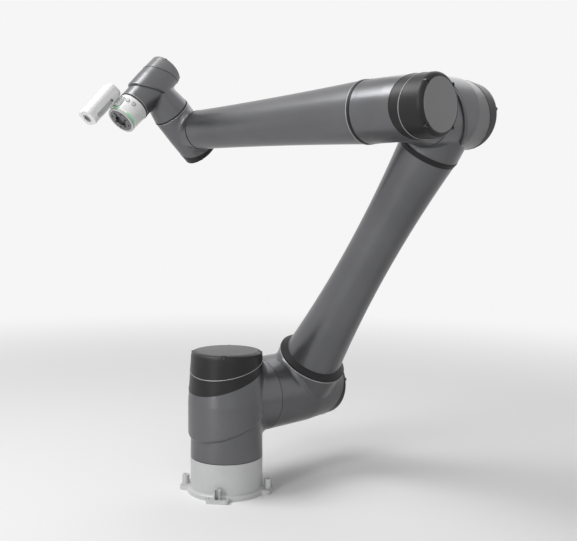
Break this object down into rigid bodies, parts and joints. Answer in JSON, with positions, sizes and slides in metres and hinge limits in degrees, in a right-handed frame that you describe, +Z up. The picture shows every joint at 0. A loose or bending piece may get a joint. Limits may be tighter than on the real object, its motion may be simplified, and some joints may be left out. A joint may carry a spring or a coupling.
{
  "type": "robot arm",
  "caption": "Jointed robot arm with round T-shaped joint housings under slanted caps, two tapered tubes, a bolted base, and an end module with tool flange, push buttons and hand camera.",
  "frame": {"origin": "centre of the base's bolt circle, on its mounting face", "axes": "+Z up, +X along the shoulder joint's axis from the base column to the upper arm, and at rest the forearm points along +Y"},
  "size_m": [0.5885, 0.8925, 1.0959],
  "materials": {
    "base_casting": "cast, satin",
    "arm_casting": "dark grey painted castings and tubes, satin",
    "cap": "dark moulded covers",
    "clamp_ring": "dark moulded rings",
    "screw": "blackened socket screws",
    "drive_steel": "machined",
    "harness": "cable jacket and grommets",
    "gland": "moulded gland",
    "white_shell": "white moulded shells",
    "light_ring": "translucent light guide",
    "dark_collar": "dark satin",
    "flange_metal": "turned",
    "lens_glass": "coated lens",
    "button": "soft moulded button"
  },
  "bodies": {
    "base": {"base_casting": "base_casting", "base_cover": "base_casting", "inlet_gland": "gland", "j1_output_ring": "drive_steel"},
    "shoulder": {"shoulder_housing": "arm_casting", "shoulder_collar": "cap", "shoulder_cap": "cap", "shoulder_cap_screws": "screw", "j1_gear_unit": "drive_steel", "j1_motor": "drive_steel", "j2_output_ring": "drive_steel"},
    "upper_arm": {"knuckle_housing": "arm_casting", "knuckle_cap": "cap", "knuckle_cap_screws": "screw", "j2_gear_unit": "drive_steel", "j2_motor": "drive_steel", "lower_clamp_ring": "clamp_ring", "upper_arm_tube": "arm_casting", "upper_clamp_ring": "clamp_ring", "upper_arm_harness": "harness", "elbow_housing": "arm_casting", "elbow_cap": "cap", "elbow_cap_screws": "screw", "j3_gear_unit": "drive_steel", "j3_motor": "drive_steel"},
    "forearm": {"j3_output_ring": "drive_steel", "forearm_housing": "arm_casting", "forearm_collar": "cap", "forearm_cap": "cap", "forearm_cap_screws": "screw", "forearm_clamp_ring": "clamp_ring", "forearm_tube": "arm_casting", "forearm_harness": "harness", "j4_gear_unit": "drive_steel", "j4_motor": "drive_steel"},
    "wrist": {"j4_output_ring": "drive_steel", "wrist_housing": "arm_casting", "wrist_cap": "cap", "wrist_cap_screws": "screw", "j5_gear_unit": "drive_steel", "j5_motor": "drive_steel"},
    "hand": {"j5_output_ring": "drive_steel", "hand_housing": "arm_casting", "hand_cap": "cap", "hand_cap_screws": "screw", "j6_gear_unit": "drive_steel", "j6_motor": "drive_steel"},
    "end_module": {"j6_output_ring": "drive_steel", "module_shell": "white_shell", "light_ring": "light_ring", "flange_collar": "dark_collar", "tool_flange": "flange_metal", "camera_bracket": "white_shell", "camera_housing": "white_shell", "camera_cover": "white_shell", "lens_barrel": "dark_collar", "lens_glass": "lens_glass"},
    "guide_button": {"guide_button": "button"},
    "teach_button": {"teach_button": "button"}
  },
  "joints": [
    {"name": "base_turn", "type": "hinge", "parent": "base", "child": "shoulder", "pos_m": [0, 0, 0.228], "axis": [0, 0, 1], "range_deg": [-270, 270]},
    {"name": "shoulder_swing", "type": "hinge", "parent": "shoulder", "child": "upper_arm", "pos_m": [0.2465, 0, 0.228], "axis": [1, 0, 0], "range_deg": [-110, 50]},
    {"name": "elbow_bend", "type": "hinge", "parent": "upper_arm", "child": "forearm", "pos_m": [0.2465, -0.47304, 0.92275], "axis": [1, 0, 0], "range_deg": [-30, 200]},
    {"name": "forearm_roll", "type": "hinge", "parent": "forearm", "child": "wrist", "pos_m": [0.076, 0.2638, 0.90731], "axis": [0, 0.9998, -0.0209], "range_deg": [-180, 180]},
    {"name": "wrist_bend", "type": "hinge", "parent": "wrist", "child": "hand", "pos_m": [0.076, 0.2638, 0.90731], "axis": [-0.7046, 0.0149, 0.7094], "range_deg": [-180, 180]},
    {"name": "flange_turn", "type": "hinge", "parent": "hand", "child": "end_module", "pos_m": [-0.03392, 0.26612, 1.01798], "axis": [-0.7096, -0.0148, -0.7045], "range_deg": [-270, 270]},
    {"name": "guide_button_press", "type": "slide", "parent": "end_module", "child": "guide_button", "axis": [0.3199, 0.8841, -0.3407], "range_m": [0, 0.001], "stiffness_N_per_m": 1500, "springref_m": -0.001},
    {"name": "teach_button_press", "type": "slide", "parent": "end_module", "child": "teach_button", "axis": [0.5627, 0.5898, -0.5792], "range_m": [0, 0.001], "stiffness_N_per_m": 1500, "springref_m": -0.001}
  ]
}
